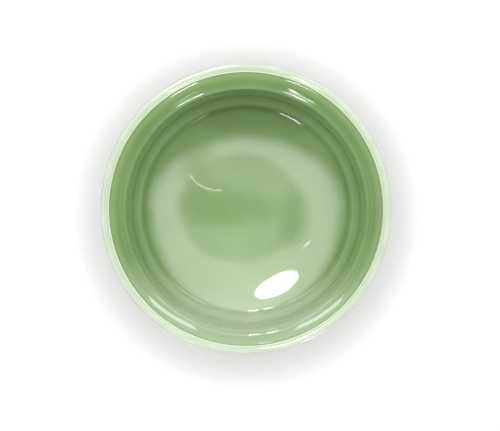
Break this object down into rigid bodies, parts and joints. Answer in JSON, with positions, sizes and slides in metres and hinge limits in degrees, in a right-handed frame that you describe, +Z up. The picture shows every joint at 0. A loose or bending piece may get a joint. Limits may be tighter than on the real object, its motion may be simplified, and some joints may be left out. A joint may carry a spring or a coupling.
{
  "type": "matcha bowl",
  "caption": "Round tea bowl for whisking matcha, with a flared collar, a rounded lip, steep walls, a dished floor and a low foot ring, in green celadon glaze.",
  "frame": {"origin": "on the bowl's axis, in the plane that the foot ring stands on", "axes": "+Z up along the bowl's axis; X and Y are any two directions, since the bowl is round"},
  "size_m": [0.12, 0.12, 0.07],
  "materials": {
    "porcelain": "unglazed, smooth, fired",
    "celadon_glaze": "glossy, translucent green, pooling deeper in hollows",
    "pale_lip_glaze": "glossy, thin and pale where it breaks over the lip"
  },
  "bodies": {
    "root": {"clay_body": "porcelain", "foot_ring": "porcelain", "inner_glaze": "celadon_glaze", "outer_glaze": "celadon_glaze", "lip_glaze": "pale_lip_glaze", "foot_well_glaze": "celadon_glaze"}
  },
  "joints": []
}
